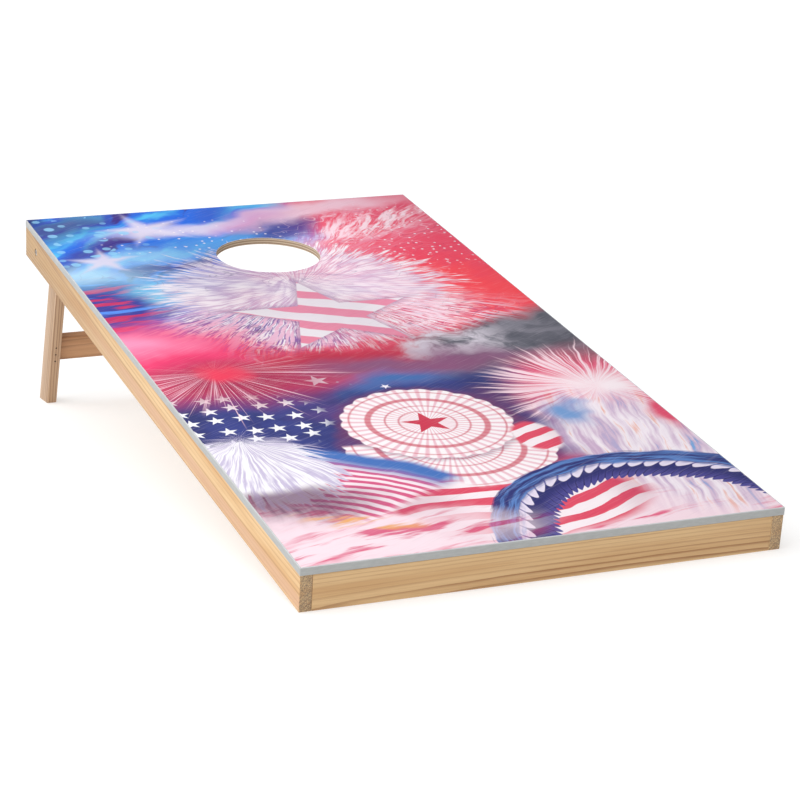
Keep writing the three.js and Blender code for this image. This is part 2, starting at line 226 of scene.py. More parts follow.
def rounded_bar(name, low, high, ease=wood_ease):
    """A planed bar between two corners with every edge eased."""
    shape = bmesh.new()
    place = Matrix.Translation((high + low) / 2) @ Matrix.Diagonal((*(high - low), 1))
    bmesh.ops.create_cube(shape, size=1, matrix=place)
    bmesh.ops.bevel(
        shape, geom=shape.edges[:], offset=ease, segments=3, profile=0.5, affect="EDGES",
    )
    return as_piece(name, shape)


def smooth(mesh):
    """Shades a mesh smooth, with creases where its faces turn sharply."""
    mesh.shade_smooth()
    mesh.set_sharp_from_angle(angle=math.radians(35))


def as_piece(name, shape):
    """Turns a worked shape into an object."""
    mesh = bpy.data.meshes.new(name)
    shape.to_mesh(mesh)
    shape.free()
    piece = bpy.data.objects.new(name, mesh)
    bpy.context.scene.collection.objects.link(piece)
    smooth(mesh)
    return piece


def end_grain(piece, along):
    """Puts the second finish on the faces across the grain."""
    axis = "xyz".index(along)
    for face in piece.data.polygons:
        face.material_index = int(abs(face.normal[axis]) > 0.75)


def work_with(piece, other, operation):
    """Cuts another shape out of a piece, or joins it on, and removes that shape."""
    work = piece.modifiers.new("work", "BOOLEAN")
    work.operation = operation
    work.object = other
    work.solver = "EXACT"
    worked_piece = piece.evaluated_get(bpy.context.evaluated_depsgraph_get())
    worked = bpy.data.meshes.new_from_object(worked_piece)
    piece.modifiers.remove(work)
    old = piece.data
    piece.data = worked
    bpy.data.meshes.remove(old)
    bpy.data.objects.remove(other)
    smooth(worked)


def take_away(piece, cutter):
    work_with(piece, cutter, "DIFFERENCE")


def set_in_place(piece, place, body, finishes, node):
    """Sets a finished piece on its frame, with its finishes, in place of its CAD node."""
    for finish in finishes:
        piece.data.materials.append(finish)
    piece.matrix_world = place
    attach(piece, body)
    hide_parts(node)


def set_pine(piece, node, label, along, pith, body="board", frame_of_piece=None, **looks):
    """Sets a pine piece in place, with one finish on its faces and one on its end grain."""
    end_grain(piece, along)
    face = pine_finish(f"{label} pine", along, pith, frame_of_piece=frame_of_piece, **looks)
    ends = pine_finish(f"{label} end grain", along, pith, end=True, frame_of_piece=frame_of_piece)
    place = board_place
    if frame_of_piece:
        piece.data.transform(frame_of_piece)
        place = Matrix()
    set_in_place(piece, place, body, [face, ends], node)


def along_z(start, direction):
    """A frame with its origin at a point and its z axis along a direction."""
    turn = Vector((0, 0, 1)).rotation_difference(Vector(direction)).to_matrix().to_4x4()
    return Matrix.Translation(start) @ turn


def drill(name, start, direction, radius, length, steps=48):
    """A round cutting shape that starts at a point and runs along a direction."""
    shape = bmesh.new()
    bmesh.ops.create_cone(
        shape, cap_ends=True, segments=steps, radius1=radius, radius2=radius, depth=length,
        matrix=along_z(start, direction) @ Matrix.Translation((0, 0, length / 2)),
    )
    return as_piece(name, shape)


rail_pith = {
    "side_rail_left": (-0.345, 0.2, 0.012),
    "side_rail_right": (0.34, 0.3, -0.09),
    "front_rail": (0.16, -0.028, -0.062),
    "back_rail": (-0.2, 1.25, -0.02),
}
# Heartwood distances for the side rails; they also turn on the painted shade that darkens each side rail towards
# the back.
rail_heartwood_and_far_shade = {"side_rail_left": 0.071, "side_rail_right": 0.05}
# The front rail's tones are darker than the other rails': painted shade, standing in for the shade its front face
# falls in.
front_rail_shaded_tones = {"light": (208, 173, 126), "warm": (193, 153, 105), "dark": (146, 100, 58)}
bolt_head_radius = 0.0055
bolt_well_radius = bolt_head_radius + 0.0004
bolt_well_depth = 0.0037
bolt_hole_radius = 0.0032
drill_lead = 0.001

for rail, pith in rail_pith.items():
    low, high = own_box(rail, board_place)
    along = "y" if rail.startswith("side") else "x"
    piece = rounded_bar(f"{rail}_timber", low, high)
    if along == "y":
        outwards = math.copysign(1, low.x)
        bolt_low, bolt_high = own_box(rail.replace("side_rail", "pivot_bolt"), board_place)
        bolt_line = (bolt_low + bolt_high) / 2
        outer_face = low.x if outwards < 0 else high.x
        mouth = Vector((outer_face + outwards * drill_lead, bolt_line.y, bolt_line.z))
        for cut, radius, depth in (
            ("bolt_well", bolt_well_radius, bolt_well_depth + drill_lead),
            ("bolt_hole", bolt_hole_radius, 0.03),
        ):
            take_away(piece, drill(cut, mouth, (-outwards, 0, 0), radius, depth))
    # The front rail takes the darker tones of painted shade.
    tones = front_rail_shaded_tones if rail == "front_rail" else {}
    set_pine(piece, rail, rail, along, pith, heartwood=rail_heartwood_and_far_shade.get(rail, 0), **tones)

# ---- Deck panel ----
# Birch plywood with a six inch hole for the bags. The raw ply shows its layers round the hole and
# along the edges, and its plain underside shows between the rails.

hole_from_back = 0.2286
hole_radius = 0.0762
hole_centre = Vector((0, deck_length - hole_from_back, 0))


def draw_out(shape, faces, axis, end):
    """Extrudes faces until their copies lie at one place along an axis."""
    for vertex in bmesh.ops.extrude_face_region(shape, geom=faces)["geom"]:
        if isinstance(vertex, bmesh.types.BMVert):
            vertex.co[axis] = end
    bmesh.ops.recalc_face_normals(shape, faces=shape.faces[:])


def deck_sheet(name, low, high, ease=0.0):
    """A flat sheet with a round hole, its top rim softened."""
    steps = 160
    shape = bmesh.new()
    corners = [(low.x, low.y), (high.x, low.y), (high.x, high.y), (low.x, high.y)]
    outer = [shape.verts.new((x, y, high.z)) for x, y in corners]
    ring = [
        shape.verts.new((
            hole_centre.x + hole_radius * math.cos(2 * math.pi * step / steps),
            hole_centre.y + hole_radius * math.sin(2 * math.pi * step / steps),
            high.z,
        ))
        for step in range(steps)
    ]
    edges = [
        shape.edges.new(ends) for loop in (outer, ring) for ends in zip(loop, loop[1:] + loop[:1])
    ]
    bmesh.ops.triangle_fill(shape, edges=edges, use_beauty=True, normal=(0, 0, 1))
    for face in shape.faces:
        if face.normal.z < 0:
            face.normal_flip()
    draw_out(shape, shape.faces[:], 2, low.z)
    rim = [
        edge for edge in shape.edges
        if edge.is_manifold and edge.calc_face_angle() > 1.2
        and all(abs(vertex.co.z - high.z) < 1e-6 for vertex in edge.verts)
    ]
    if ease:
        bmesh.ops.bevel(shape, geom=rim, offset=ease, segments=2, profile=0.5, affect="EDGES")
    return as_piece(name, shape)


def ply_face_finish():
    ply = Finish("birch ply face")
    bend = ply.noise(ply.stretch(ply.place, (9, 0.8, 9)), 1, 2, 0.5)
    figure = ply.stretch(ply.place, (60, 2.2, 60))
    figure = ply.vector("ADD", figure, ply.stretch(ply.join(bend, bend), (6, 0, 1)))
    arches = ply.noise(figure, 1, 3, 0.5, 0.6)
    fibre = ply.noise(ply.stretch(ply.place, (1600, 30, 1600)), 1, 2, 0.6)
    tone = ply.blend(ply.rise(arches, 0.3, 0.7), (226, 196, 154), (203, 164, 116))
    tone = ply.blend(ply.times(ply.rise(fibre, 0.5, 0.75), 0.35), tone, (160, 118, 76))
    ply.relief(fibre, 0.25, 0.0002)
    ply.shine(Base_Color=tone, Roughness=ply.span(fibre, 0.6, 0.8))
    return ply.material


def ply_edge_finish(thickness):
    """Five veneers, alternately end grain and long grain."""
    ply = Finish("birch ply layers")
    height = ply.step("ShaderNodeSeparateXYZ", {"Vector": ply.place}, "Z")
    waver = ply.noise(ply.stretch(ply.place, (25, 25, 25)), 1, 2, 0.5)
    layer = ply.times(waver, 0.0006, height)
    layer = ply.sums("PINGPONG", ply.sums("DIVIDE", layer, thickness / 5), 1.0)
    glue = ply.rise(ply.sums("ABSOLUTE", ply.sums("SUBTRACT", layer, 0.5)), 0.1, 0.02)
    pores = ply.noise(ply.stretch(ply.place, (500, 500, 900)), 1, 3, 0.6)
    long_fibre = ply.noise(ply.stretch(ply.place, (60, 60, 2400)), 1, 2, 0.6)
    end_layer = ply.blend(pores, (138, 116, 96), (170, 146, 122))
    long_layer = ply.blend(long_fibre, (188, 168, 146), (206, 188, 166))
    tone = ply.blend(ply.rise(layer, 0.42, 0.58), end_layer, long_layer)
    tone = ply.blend(ply.times(glue, 0.6), tone, (96, 64, 42))
    ply.relief(pores, 0.3, 0.0003)
    ply.shine(Base_Color=tone, Roughness=ply.span(pores, 0.65, 0.85))
    return ply.material


low, high = own_box("deck_panel", board_place)
panel = deck_sheet("deck_plywood", low, high)
for face in panel.data.polygons:
    face.material_index = int(abs(face.normal.z) < 0.5)
set_in_place(
    panel, board_place, "board", [ply_face_finish(), ply_edge_finish(high.z - low.z)], "deck_panel",
)

# ---- Printed film ----
# A satin film printed edge to edge and laminated to the deck. The print is an abstract red, white
# and blue wash with soft dots, plumes, a striped star, bursts, buntings and waving stripes.


class Print(Finish):
    """The print, laid down as inks from the back of the deck to the front. Three grounds carry
    the marks: the flat deck, a slightly drifting one, and a loose one. The sliding pair of the
    last two is for brush strokes."""

    def __init__(self, name):
        super().__init__(name)
        self.flat = self.vector("ADD", self.place)
        drift = self.step("ShaderNodeTexNoise", {"Vector": self.place, "Scale": 9.0, "Detail": 3.0}, 1)
        sway = self.tree.nodes.new("ShaderNodeSeparateColor")
        self.feed(sway.inputs[0], drift)
        drift = self.join(*[self.sums("SUBTRACT", sway.outputs[part], 0.5) for part in (0, 1)])
        wide = self.vector("MULTIPLY", drift, (0.11, 0.11, 0))
        slight = self.vector("MULTIPLY", drift, (0.03, 0.03, 0))
        self.loose = self.vector("ADD", self.flat, wide)
        self.near = self.vector("ADD", self.flat, slight)
        self.loose_slide = self.stretch(self.place, (1, 1, 1), offset=wide)
        self.near_slide = self.stretch(self.place, (1, 1, 1), offset=slight)
        self.inks = (240, 66, 98)

    def ink(self, mask, colour):
        self.inks = self.blend(mask, self.inks, colour)

    def both(self, *masks):
        whole = masks[0]
        for mask in masks[1:]:
            whole = self.times(whole, mask)
        return whole

    def split(self, vector):
        parts = self.tree.nodes.new("ShaderNodeSeparateXYZ")
        self.feed(parts.inputs[0], vector)
        return parts.outputs["X"], parts.outputs["Y"]

    def about(self, centre, reach=(1, 1), turn=0.0, ground=None):
        """Places measured from a centre, in shares of a reach across and a reach up the deck."""
        spot = self.vector("SUBTRACT", ground or self.loose, (*centre, 0))
        if turn == 0 and reach == (1, 1):
            return spot
        if turn == 0:
            return self.vector("MULTIPLY", spot, (1 / reach[0], 1 / reach[1], 0))
        lean, rise = math.cos(math.radians(turn)), math.sin(math.radians(turn))
        across = self.vector("DOT_PRODUCT", spot, (lean / reach[0], rise / reach[0], 0), 1)
        up = self.vector("DOT_PRODUCT", spot, (-rise / reach[1], lean / reach[1], 0), 1)
        return self.join(across, up)

    def patch(self, centre, reach, soft=0.35, turn=0.0, ground=None):
        away = self.vector("LENGTH", self.about(centre, reach, turn, ground), output=1)
        return self.rise(away, 1 + soft, 1 - soft)

    def polar(self, centre, ground=None):
        """The heading of each place from a centre, in radians, and its distance."""
        spot = self.about(centre, ground=ground or self.flat)
        across, up = self.split(spot)
        return self.sums("ARCTAN2", up, across), self.vector("LENGTH", spot, output=1)

    def rays(self, centre, count, along=0.0, seed=0.0, ground=None):
        """Streaks that run out from a centre, and how far out each place is."""
        spot = self.about(centre, ground=ground or self.flat)
        away = self.vector("LENGTH", spot, output=1)
        turn = self.vector("MULTIPLY", self.vector("NORMALIZE", spot), (count, count, 0))
        travel = self.step("ShaderNodeCombineXYZ", {"Z": self.times(away, along, seed)})
        return self.noise(self.vector("ADD", turn, travel), 1, 2, 0.55), away

    def strokes(self, turn, across, along, seed=0.0, ground=None):
        """Brush strokes in one direction."""
        feeds = {
            "Vector": ground or self.near_slide, "Location": (seed, 0, 0),
            "Scale": (1 / along, 1 / across, 1), "Rotation": (0, 0, math.radians(turn)),
        }
        return self.noise(self.step("ShaderNodeMapping", feeds, vector_type="TEXTURE"), 1, 3, 0.6)

    def star(self, spot, size, soft):
        """A plain five-pointed star round the origin of spot."""
        across, up = self.split(spot)
        heading = self.sums("SUBTRACT", self.sums("ARCTAN2", up, across), math.pi / 2)
        fold = self.sums("PINGPONG", heading, math.pi / 5)
        lean = self.sums("COSINE", self.sums("SUBTRACT", fold, math.radians(72)))
        away = self.vector("LENGTH", spot, output=1)
        reach = self.sums("DIVIDE", self.times(away, lean), size)
        edge = math.cos(math.radians(72))
        return self.rise(reach, edge * (1 + soft), edge * (1 - soft))

    def scatter(self, pitch, looseness):
        """Places measured from the nearest of many scattered spots, and a chance value for each."""
        spread = self.tree.nodes.new("ShaderNodeTexVoronoi")
        self.feed(spread.inputs["Vector"], self.stretch(self.place, (1, 1, 0)))
        self.feed(spread.inputs["Scale"], 1 / pitch)
        self.feed(spread.inputs["Randomness"], looseness)
        spot = self.vector("SUBTRACT", self.flat, spread.outputs["Position"])
        chance = self.step("ShaderNodeSeparateColor", {"Color": spread.outputs["Color"]})
        return self.vector("MULTIPLY", spot, (1, 1, 0)), chance

    def stripes(self, value, pitch, sharp=0.2):
        wave = self.sums("SINE", self.times(value, 2 * math.pi / pitch))
        return self.rise(wave, -sharp, sharp)

    def ring(self, away, middle, half, soft=0.0015):
        off = self.sums("ABSOLUTE", self.sums("SUBTRACT", away, middle))
        return self.rise(off, half + soft, half - soft)


art = Print("printed film")
across, up = art.split(art.flat)
near_across, near_up = art.split(art.near)
wash = art.noise(art.stretch(art.loose_slide, (5, 5, 1), 0.5), 1, 4, 0.6)
feather, _ = art.rays((0.0, 0.85), 34, 18, 5.0, art.near)
barbs, _ = art.rays((0.0, 0.85), 100, 40, 2.0, art.near)
strands = art.rise(art.times(feather, 0.6, art.times(barbs, 0.4)), 0.4, 0.6)

# Crimson and pink over the back right, with pale plumes blown across it.
art.ink(art.span(art.rise(wash, 0.4, 0.65), 0, 0.7), (238, 98, 126))
art.ink(art.both(art.patch((0.23, 0.76), (0.13, 0.17)), art.rise(wash, 0.25, 0.5)), (253, 72, 84))
art.ink(art.patch((0.3, 1.2), (0.12, 0.12), 0.6), (226, 56, 96))
plume = art.both(art.patch((0.15, 1.06), (0.15, 0.08), 0.6, 25), art.span(strands, 0.15, 0.7))
art.ink(plume, (240, 160, 184))
art.ink(art.both(art.patch((0.2, 1.09), (0.15, 0.035), 0.6, 24), strands), (253, 222, 232))

# Navy, bright blue and cyan over the back left.
deep = art.strokes(38, 16, 5, 1.0, art.loose_slide)
sky_ink = art.blend(art.rise(deep, 0.36, 0.45), (52, 36, 140), (16, 108, 232))
sky_ink = art.blend(art.rise(deep, 0.48, 0.64), sky_ink, (84, 198, 250))
art.ink(art.patch((-0.33, 1.22), (0.42, 0.52), 0.12), sky_ink)
for centre, reach, soft, turn, colour in (
    ((-0.24, 0.86), (0.14, 0.07), 0.7, 0, (132, 208, 242)),
    ((-0.2, 1.0), (0.12, 0.035), 0.9, 12, (150, 206, 248)),
    ((-0.28, 0.95), (0.06, 0.03), 0.9, -8, (190, 226, 250)),
    ((-0.26, 1.17), (0.1, 0.035), 0.8, 35, (58, 40, 128)),
    ((-0.32, 1.225), (0.035, 0.05), 0.8, 0, (24, 28, 74)),
    ((-0.24, 1.06), (0.07, 0.02), 0.8, 30, (62, 48, 146)),
    ((-0.02, 1.06), (0.09, 0.05), 0.8, 10, (92, 168, 236)),
    ((0.07, 1.1), (0.06, 0.035), 0.6, 40, (62, 52, 136)),
    ((0.11, 1.165), (0.17, 0.035), 0.6, 14, (247, 214, 230)),
    ((0.0, 1.14), (0.07, 0.03), 0.8, 16, (208, 138, 194)),
    ((-0.1, 1.13), (0.1, 0.025), 0.9, 12, (222, 214, 240)),
    ((-0.02, 1.19), (0.05, 0.02), 0.8, 10, (48, 96, 206)),
):
    art.ink(art.both(art.patch(centre, reach, soft, turn), art.span(wash, 0.6, 1.1)), colour)
for centre, size, turn in (((-0.142, 1.14), 0.062, 14), ((-0.243, 1.01), 0.046, -6)):
    pale_star = art.star(art.about(centre, turn=turn, ground=art.near), size, 0.6)
    art.ink(art.times(pale_star, 0.9), (228, 220, 242))

# Soft round dots in the blue, and fine bright specks in the red and the blue.
spot, chance = art.scatter(0.034, 0.75)
away = art.sums("DIVIDE", art.vector("LENGTH", spot, output=1), art.span(chance, 0.004, 0.0085))
dots = art.both(
    art.rise(away, 1.1, 0.8), art.patch((-0.26, 1.12), (0.13, 0.15), 0.3), art.rise(chance, 0.1, 0.3),
)
art.ink(art.both(dots, art.span(chance, 0.4, 0.8)), (150, 214, 252))
spot, chance = art.scatter(0.015, 1.0)
speck = art.rise(art.vector("LENGTH", spot, output=1), 0.0026, 0.0012)
for centre, reach, share in (
    ((0.24, 1.03), (0.09, 0.14), 0.55),
    ((-0.08, 1.08), (0.14, 0.1), 0.7),
    ((0.02, 0.44), (0.2, 0.1), 0.86),
):
    lit = art.both(speck, art.rise(chance, share, share + 0.05), art.patch(centre, reach, 0.4))
    art.ink(lit, (246, 236, 246))

# Pale plumage below the hole. Its feathers overlap like scales and run out from the middle.
heading, away = art.polar((0.0, 0.9), art.near)
lay = art.join(art.times(heading, 7), art.times(away, 32))
scales = art.step("ShaderNodeTexVoronoi", {"Vector": lay, "Scale": 1.0, "Randomness": 0.9})
tone = art.times(scales, 0.55, art.times(strands, 0.4))
down = art.blend(art.rise(tone, 0.24, 0.82), (250, 242, 249), (192, 168, 206))
edge = art.vector("LENGTH", art.about((0.0, 0.82), (0.215, 0.2), 0, art.near), output=1)
edge = art.sums("ADD", edge, art.times(feather, 0.9, art.times(barbs, 0.7)))
plumage = art.rise(edge, 1.9, 1.62)
art.ink(plumage, down)
for centre, reach, share, colour in (
    ((0.14, 0.88), (0.1, 0.1), 0.55, (240, 178, 200)),
    ((0.0, 0.93), (0.1, 0.05), 0.5, (232, 120, 156)),
    ((-0.16, 0.94), (0.09, 0.06), 0.7, (166, 172, 224)),
    ((-0.09, 0.8), (0.1, 0.05), 0.35, (244, 170, 196)),
    ((0.0, 0.62), (0.2, 0.06), 0.5, (196, 60, 96)),
):
    art.ink(art.both(plumage, art.patch(centre, reach, 0.7), art.span(strands, 0.2, 1), share), colour)
for centre, first, second in (
    ((-0.13, 0.7), (132, 96, 172), (240, 190, 216)), ((0.12, 0.7), (222, 84, 122), (250, 214, 228)),
):
    tufts = art.patch(centre, (0.15, 0.075), 0.5)
    art.ink(art.both(tufts, art.rise(barbs, 0.46, 0.56)), first)
    art.ink(art.both(tufts, art.rise(feather, 0.46, 0.58)), second)

# Fine curling pen lines, dark and pale, among the plumes.
curls = art.noise(art.stretch(art.near_slide, (20, 30, 1)), 1, 1, 0.4, 0.8)
for centre, reach, level, strength, colour in (
    ((0.02, 0.68), (0.27, 0.1), 0.52, 0.6, (104, 52, 104)),
    ((0.02, 0.66), (0.26, 0.12), 0.44, 0.8, (252, 232, 242)),
    ((0.0, 0.92), (0.26, 0.07), 0.5, 0.5, (112, 96, 146)),
    ((0.2, 1.08), (0.13, 0.1), 0.5, 0.75, (252, 214, 228)),
    ((0.2, 1.05), (0.13, 0.1), 0.58, 0.5, (150, 40, 92)),
):
    pen = art.both(art.ring(curls, level, 0.006, 0.01), art.patch(centre, reach, 0.5), strength)
    art.ink(pen, colour)

# A striped star hangs in the middle, with a soft violet shade round it.
star_spot = art.about((0.0, 0.735), ground=art.flat)
art.ink(art.times(art.star(star_spot, 0.15, 0.22), 0.55), (140, 84, 140))
slant = art.vector("DOT_PRODUCT", art.near, (0.5, 0.87, 0), output=1)
cloth = art.blend(art.stripes(slant, 0.058, 0.1), (245, 240, 245), (240, 134, 162))
cloth = art.blend(art.span(wash, -0.2, 0.5), cloth, (196, 160, 190))
art.ink(art.star(star_spot, 0.135, 0.02), cloth)

# Streaks of blue and magenta, then a hot pink glow, at the left.
bands = art.strokes(4, 45, 7, 7.0)
left_band = art.patch((-0.31, 0.81), (0.09, 0.115), 0.35)
streak_ink = art.blend(art.rise(bands, 0.36, 0.46), (84, 142, 242), (56, 58, 156))
streak_ink = art.blend(art.rise(bands, 0.52, 0.6), streak_ink, (200, 42, 104))
art.ink(left_band, streak_ink)
art.ink(art.patch((-0.27, 0.64), (0.12, 0.095), 0.5), (248, 62, 118))
art.ink(art.patch((-0.29, 0.675), (0.07, 0.035), 0.9), (255, 150, 190))
art.ink(art.patch((-0.04, 0.565), (0.18, 0.045), 0.7), (190, 42, 72))

# Slate smoke at the right, with pale wisps.
smoke = art.noise(art.stretch(art.loose_slide, (14, 20, 1)), 1, 5, 0.65)
slate = art.blend(art.rise(smoke, 0.35, 0.7), (84, 86, 98), (132, 130, 142))
art.ink(art.patch((0.28, 0.545), (0.26, 0.14), 0.18, 26), slate)
wisps = art.both(art.patch((0.12, 0.59), (0.08, 0.045), 0.6, 25), art.rise(smoke, 0.42, 0.6))
art.ink(wisps, (214, 206, 218))

# The navy field, with plain white stars.
night = art.both(
    art.rise(near_up, 0.53, 0.46), art.rise(near_up, 0.16, 0.24), art.rise(near_across, 0.24, 0.16),
)
art.ink(night, art.blend(art.rise(wash, 0.4, 0.6), (44, 50, 112), (58, 68, 142)))
for centre, reach, soft, turn, colour in (
    ((0.03, 0.535), (0.18, 0.03), 0.8, 0, (140, 84, 124)),
    ((0.0, 0.485), (0.07, 0.025), 0.8, 10, (66, 110, 176)),
    ((-0.1, 0.41), (0.045, 0.03), 0.7, 0, (84, 62, 130)),
    ((0.1, 0.39), (0.05, 0.04), 0.8, 0, (96, 60, 112)),
):
    art.ink(art.patch(centre, reach, soft, turn), colour)
spot, chance = art.scatter(0.034, 0.3)
field_stars = art.both(
    art.star(spot, 0.0128, 0.1), art.patch((-0.27, 0.4), (0.14, 0.1), 0.12, 0, art.flat),
)
art.ink(field_stars, (250, 250, 255))
for centre, size, turn in (
    ((0.03, 0.412), 0.016, 8), ((0.095, 0.34), 0.012, -10),
    ((-0.1, 0.51), 0.018, 5), ((-0.02, 0.47), 0.008, 20),
):
    art.ink(art.star(art.about(centre, turn=turn, ground=art.flat), size, 0.1), (246, 240, 250))

# Two bursts of thin rays.
needles, away = art.rays((-0.22, 0.57), 55, 2, 1.0)
lengths, _ = art.rays((-0.22, 0.57), 8, 0, 6.0)
reach = art.times(lengths, 0.34, -0.02)
thin = art.both(
    art.rise(needles, 0.53, 0.6), art.rise(away, reach, art.sums("SUBTRACT", reach, 0.06)),
    art.rise(up, 0.62, 0.54),
)
art.ink(art.patch((-0.21, 0.53), (0.11, 0.06), 0.8), (176, 40, 84))
art.ink(art.times(thin, 0.85), (250, 208, 222))
art.ink(art.patch((-0.215, 0.565), (0.03, 0.02), 0.8), (244, 62, 94))
art.ink(art.patch((0.26, 0.4), (0.09, 0.11), 0.7), (232, 70, 104))
needles, away = art.rays((0.245, 0.41), 26, 5, 4.0, art.near)
glow = art.rise(art.times(needles, -0.2, away), 0.04, -0.02)
art.ink(glow, art.blend(art.rise(needles, 0.42, 0.58), (232, 96, 130), (253, 222, 232)))
art.ink(art.patch((0.25, 0.42), (0.04, 0.04), 0.9), (255, 240, 246))

# A pale pink ground towards the front, and pale drapery at the right with peach and blue folds.
ground_strokes = art.strokes(12, 55, 8, 11.0)
ground_ink = art.blend(art.rise(ground_strokes, 0.52, 0.68), (249, 222, 232), (230, 104, 138))
art.ink(art.rise(near_up, 0.21, 0.13), ground_ink)
folds = art.strokes(80, 70, 6, 2.0)
drape = art.blend(art.rise(folds, 0.34, 0.6), (206, 176, 206), (248, 238, 246))
drape = art.blend(art.rise(folds, 0.58, 0.68), drape, (236, 176, 160))
art.ink(art.patch((0.23, 0.2), (0.1, 0.18), 0.3, 6), drape)
blue_fold = art.both(art.rise(folds, 0.42, 0.34), art.patch((0.26, 0.2), (0.06, 0.14), 0.6))
art.ink(blue_fold, (120, 168, 222))
art.ink(art.patch((0.31, 0.3), (0.035, 0.06), 0.5), (228, 78, 112))
art.ink(art.patch((0.185, 0.34), (0.022, 0.03), 0.7), (120, 160, 214))

# A pleated bunting and a pleated rosette, in white and pink with thin red rings.
for centre, size, pleats in (((-0.012, 0.275), 0.132, 54), ((-0.012, 0.345), 0.108, 44)):
    heading, away = art.polar(centre)
    lobes = art.sums("ABSOLUTE", art.sums("SINE", art.times(heading, pleats / 4)))
    rim = art.times(lobes, -0.004, away)
    whole = art.rise(rim, size, size - 0.0025)
    if size > 0.12:
        whole = art.both(whole, art.rise(up, centre[1] + 0.03, centre[1] + 0.02))
    shade = art.rise(rim, size + 0.014, size - 0.002)
    art.ink(art.times(shade, 0.5), (120, 60, 104))
    pleat = art.sums("SINE", art.times(heading, pleats))
    paper = art.blend(art.rise(pleat, -0.3, 1.0), (254, 247, 250), (240, 196, 208))
    for share, half in ((0.92, 0.0012), (0.7, 0.004), (0.5, 0.0012), (0.34, 0.0012)):
        circle = art.times(art.ring(away, size * share, half), 0.75)
        paper = art.blend(circle, paper, (206, 62, 88))
    art.ink(whole, paper)
art.ink(art.star(art.about((-0.012, 0.345), ground=art.flat), 0.034, 0.05), (208, 56, 82))

# Waving red and white stripes across the front.
wave = art.times(art.sums("SINE", art.times(across, 19, 1.0)), 0.016)
flow = art.sums("ADD", wave, art.times(across, -0.2, near_up))
waving = art.blend(art.stripes(flow, 0.036, 0.12), (252, 240, 245), (228, 78, 104))
waving = art.blend(art.both(art.rise(wave, 0.004, -0.016), 0.35), waving, (160, 60, 100))
for centre, reach, turn in (
    ((0.02, 0.08), (0.15, 0.075), 8),
    ((0.105, 0.275), (0.032, 0.045), 0),
    ((-0.09, 0.13), (0.07, 0.05), 0),
):
    art.ink(art.patch(centre, reach, 0.14, turn, art.near), waving)

# Soft white and plum plumes at the left, and a curved banner of blue, pink and white.
heading, away = art.polar((-0.3, 0.02), art.near)
arcs = art.stripes(art.times(heading, 0.02, away), 0.016, 0.4)
banner = art.blend(arcs, (251, 232, 240), (218, 92, 136))
banner = art.blend(art.rise(away, 0.25, 0.29), banner, (70, 116, 190))
banner_shape = art.both(
    art.rise(away, 0.315, 0.3), art.rise(away, 0.12, 0.15),
    art.rise(heading, 0.5, 0.62), art.rise(heading, 1.32, 1.22),
)
art.ink(banner_shape, banner)
down_strands, away = art.rays((-0.26, 0.36), 30, 16, 3.0, art.near)
soft_down = art.blend(art.rise(down_strands, 0.38, 0.6), (204, 194, 222), (251, 248, 253))
edge = art.vector("LENGTH", art.about((-0.26, 0.255), (0.09, 0.1), 0, art.near), output=1)
art.ink(art.rise(art.times(down_strands, 1.1, edge), 1.62, 1.5), soft_down)
plum = art.both(art.patch((-0.245, 0.15), (0.075, 0.045), 0.5), art.span(down_strands, 0.4, 1.2))
art.ink(plum, (108, 66, 98))

# A navy streamer, with navy and pale scallops along its inside, arches over the front right corner.
heading, away = art.polar((0.165, -0.03), art.near)
streaks = art.noise(art.join(art.times(heading, 3), art.times(away, 170)), 1, 3, 0.6)
slanted = art.times(away, 60, art.times(heading, 13))
for middle, pace, droop, gap, quill, root in (
    (0.162, 3.6, 0.008, (38, 36, 92), (78, 74, 148), (44, 46, 110)),
    (0.197, 2.2, 0.011, (96, 88, 162), (234, 224, 242), (92, 98, 172)),
):
    lobes = art.sums("ABSOLUTE", art.sums("SINE", art.times(slanted, pace)))
    inner = art.times(lobes, droop, away)
    scallop = art.blend(art.rise(lobes, 0.0, 0.45), gap, quill)
    scallop = art.blend(art.rise(inner, middle + 0.006, middle + 0.03), scallop, root)
    art.ink(art.both(art.rise(inner, middle, middle + 0.002), art.rise(away, 0.226, 0.22)), scallop)
navy = art.blend(art.rise(streaks, 0.42, 0.62), (46, 52, 118), (92, 132, 198))
streamer = art.both(
    art.rise(art.times(streaks, 0.016, away), 0.244, 0.24),
    art.rise(art.times(streaks, 0.03, away), 0.212, 0.222),
)
art.ink(streamer, navy)

# A pale wash along the very front, with a few red and gold strokes.
edge_strokes = art.strokes(12, 60, 9, 9.0)
front_wash = art.blend(art.rise(edge_strokes, 0.5, 0.62), (248, 226, 235), (220, 96, 132))
washed = art.both(art.patch((-0.18, 0.05), (0.16, 0.045), 0.5), art.span(edge_strokes, 0.8, 1.0))
art.ink(washed, front_wash)
gold = art.both(art.patch((-0.2, 0.095), (0.07, 0.014), 0.5, -12), art.rise(edge_strokes, 0.44, 0.6))
art.ink(gold, (238, 172, 96))

# Fine brush hairs through all of it.
hairs = art.strokes(30, 420, 16, 3.0, art.place)
art.ink(art.span(art.rise(hairs, 0.5, 0.8), 0, 0.12), (255, 240, 250))
art.ink(art.span(art.rise(hairs, 0.46, 0.2), 0, 0.12), (90, 40, 90))

film_grain = art.noise(art.stretch(art.place, (1800, 1800, 1)), 1, 2, 0.6)
veil = art.noise(art.stretch(art.place, (7, 3, 1)), 1, 3, 0.6)
art.relief(film_grain, 0.12, 0.0001)
art.shine(Base_Color=art.inks, Roughness=art.span(veil, 0.42, 0.58), Specular_IOR_Level=0.22)


def film_edge_finish():
    """The film's cut edge, where its white core shows."""
    core = Finish("film cut edge")
    nicks = core.noise(core.stretch(core.place, (700, 700, 2500)), 1, 3, 0.6)
    tone = core.blend(core.rise(nicks, 0.35, 0.7), (214, 208, 202), (238, 235, 232))
    core.relief(nicks, 0.2, 0.0001)
    core.shine(Base_Color=tone, Roughness=core.span(nicks, 0.5, 0.7))
    return core.material


